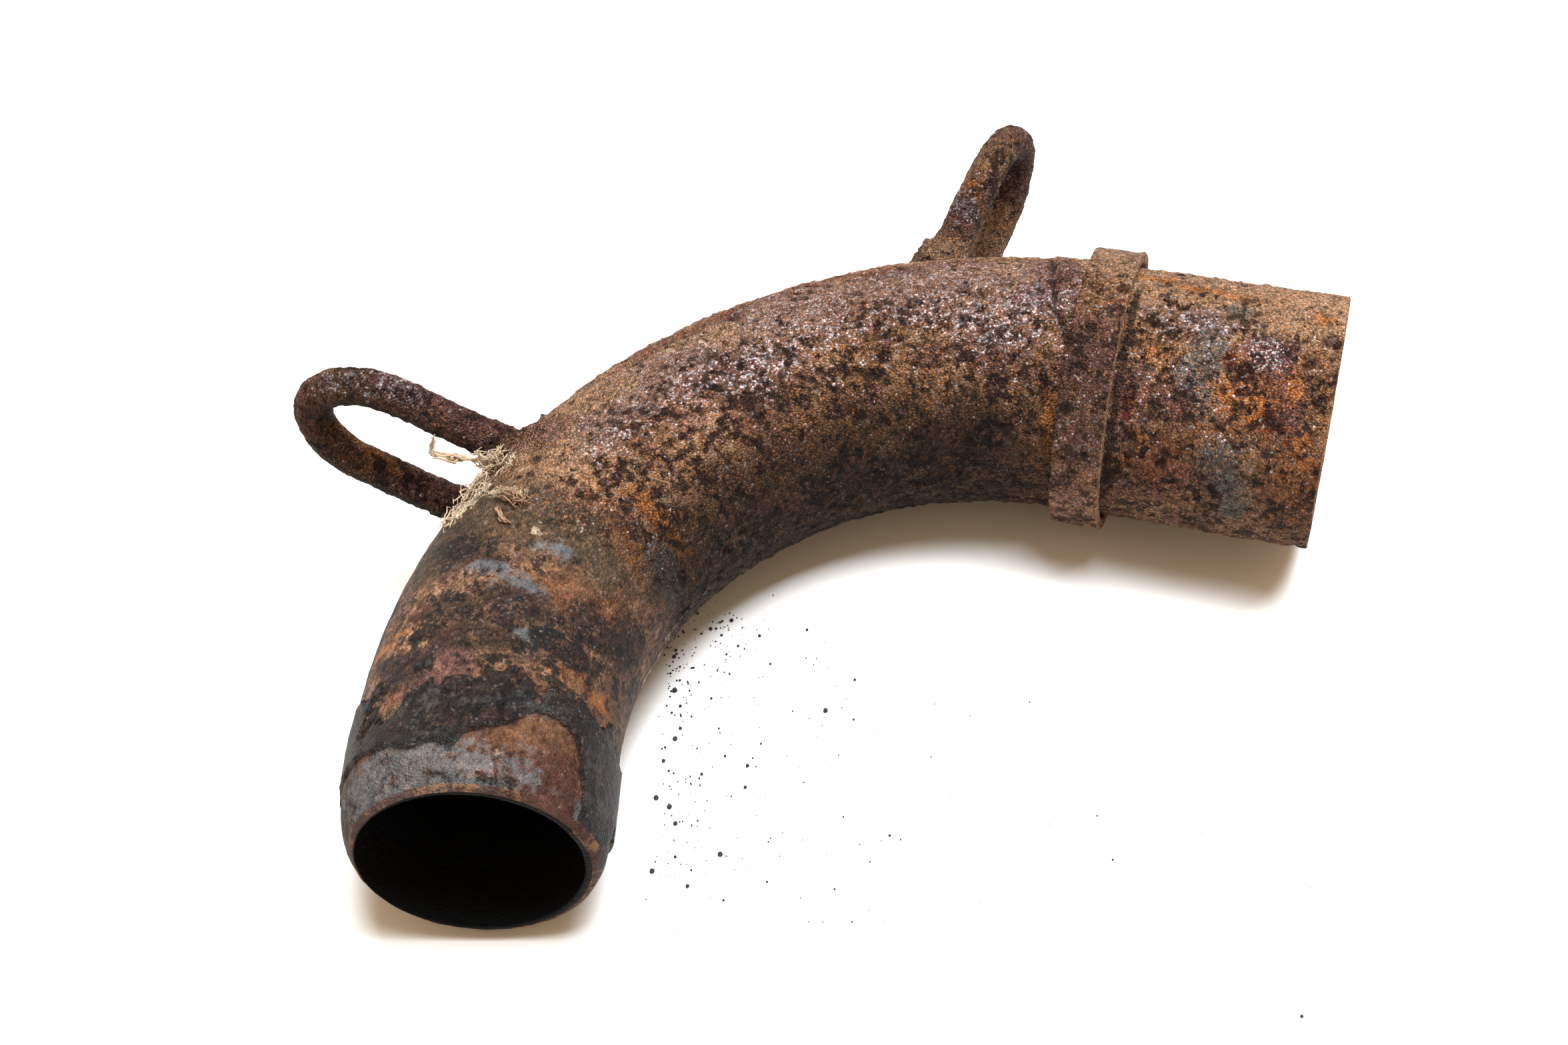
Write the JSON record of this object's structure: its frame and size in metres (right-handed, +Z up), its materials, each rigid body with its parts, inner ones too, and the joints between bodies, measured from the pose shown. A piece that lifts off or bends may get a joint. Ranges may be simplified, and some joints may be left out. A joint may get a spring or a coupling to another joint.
{
  "type": "bent pipe section",
  "caption": "Rust-scaled steel pipe bent through about a right angle, with a flat band round its straight end and bent-bar hanger loops welded on.",
  "frame": {"origin": "centre of the bottom of the part's box, on the floor that the part lies on", "axes": "+X towards the cut end of the straight stub, +Z up, -Y roughly towards the rolled-in mouth of the front leg"},
  "size_m": [0.207, 0.2106, 0.0612],
  "materials": {
    "pipe_scale": "heavily rusted, pitted and scaled steel",
    "band_scale": "rusted steel strip, finely pitted",
    "bar_scale": "rusted steel bar, dark scale"
  },
  "bodies": {
    "root": {"bend_pipe": "pipe_scale", "band": "band_scale", "front_loop": "bar_scale", "rear_loop": "bar_scale"}
  },
  "joints": []
}
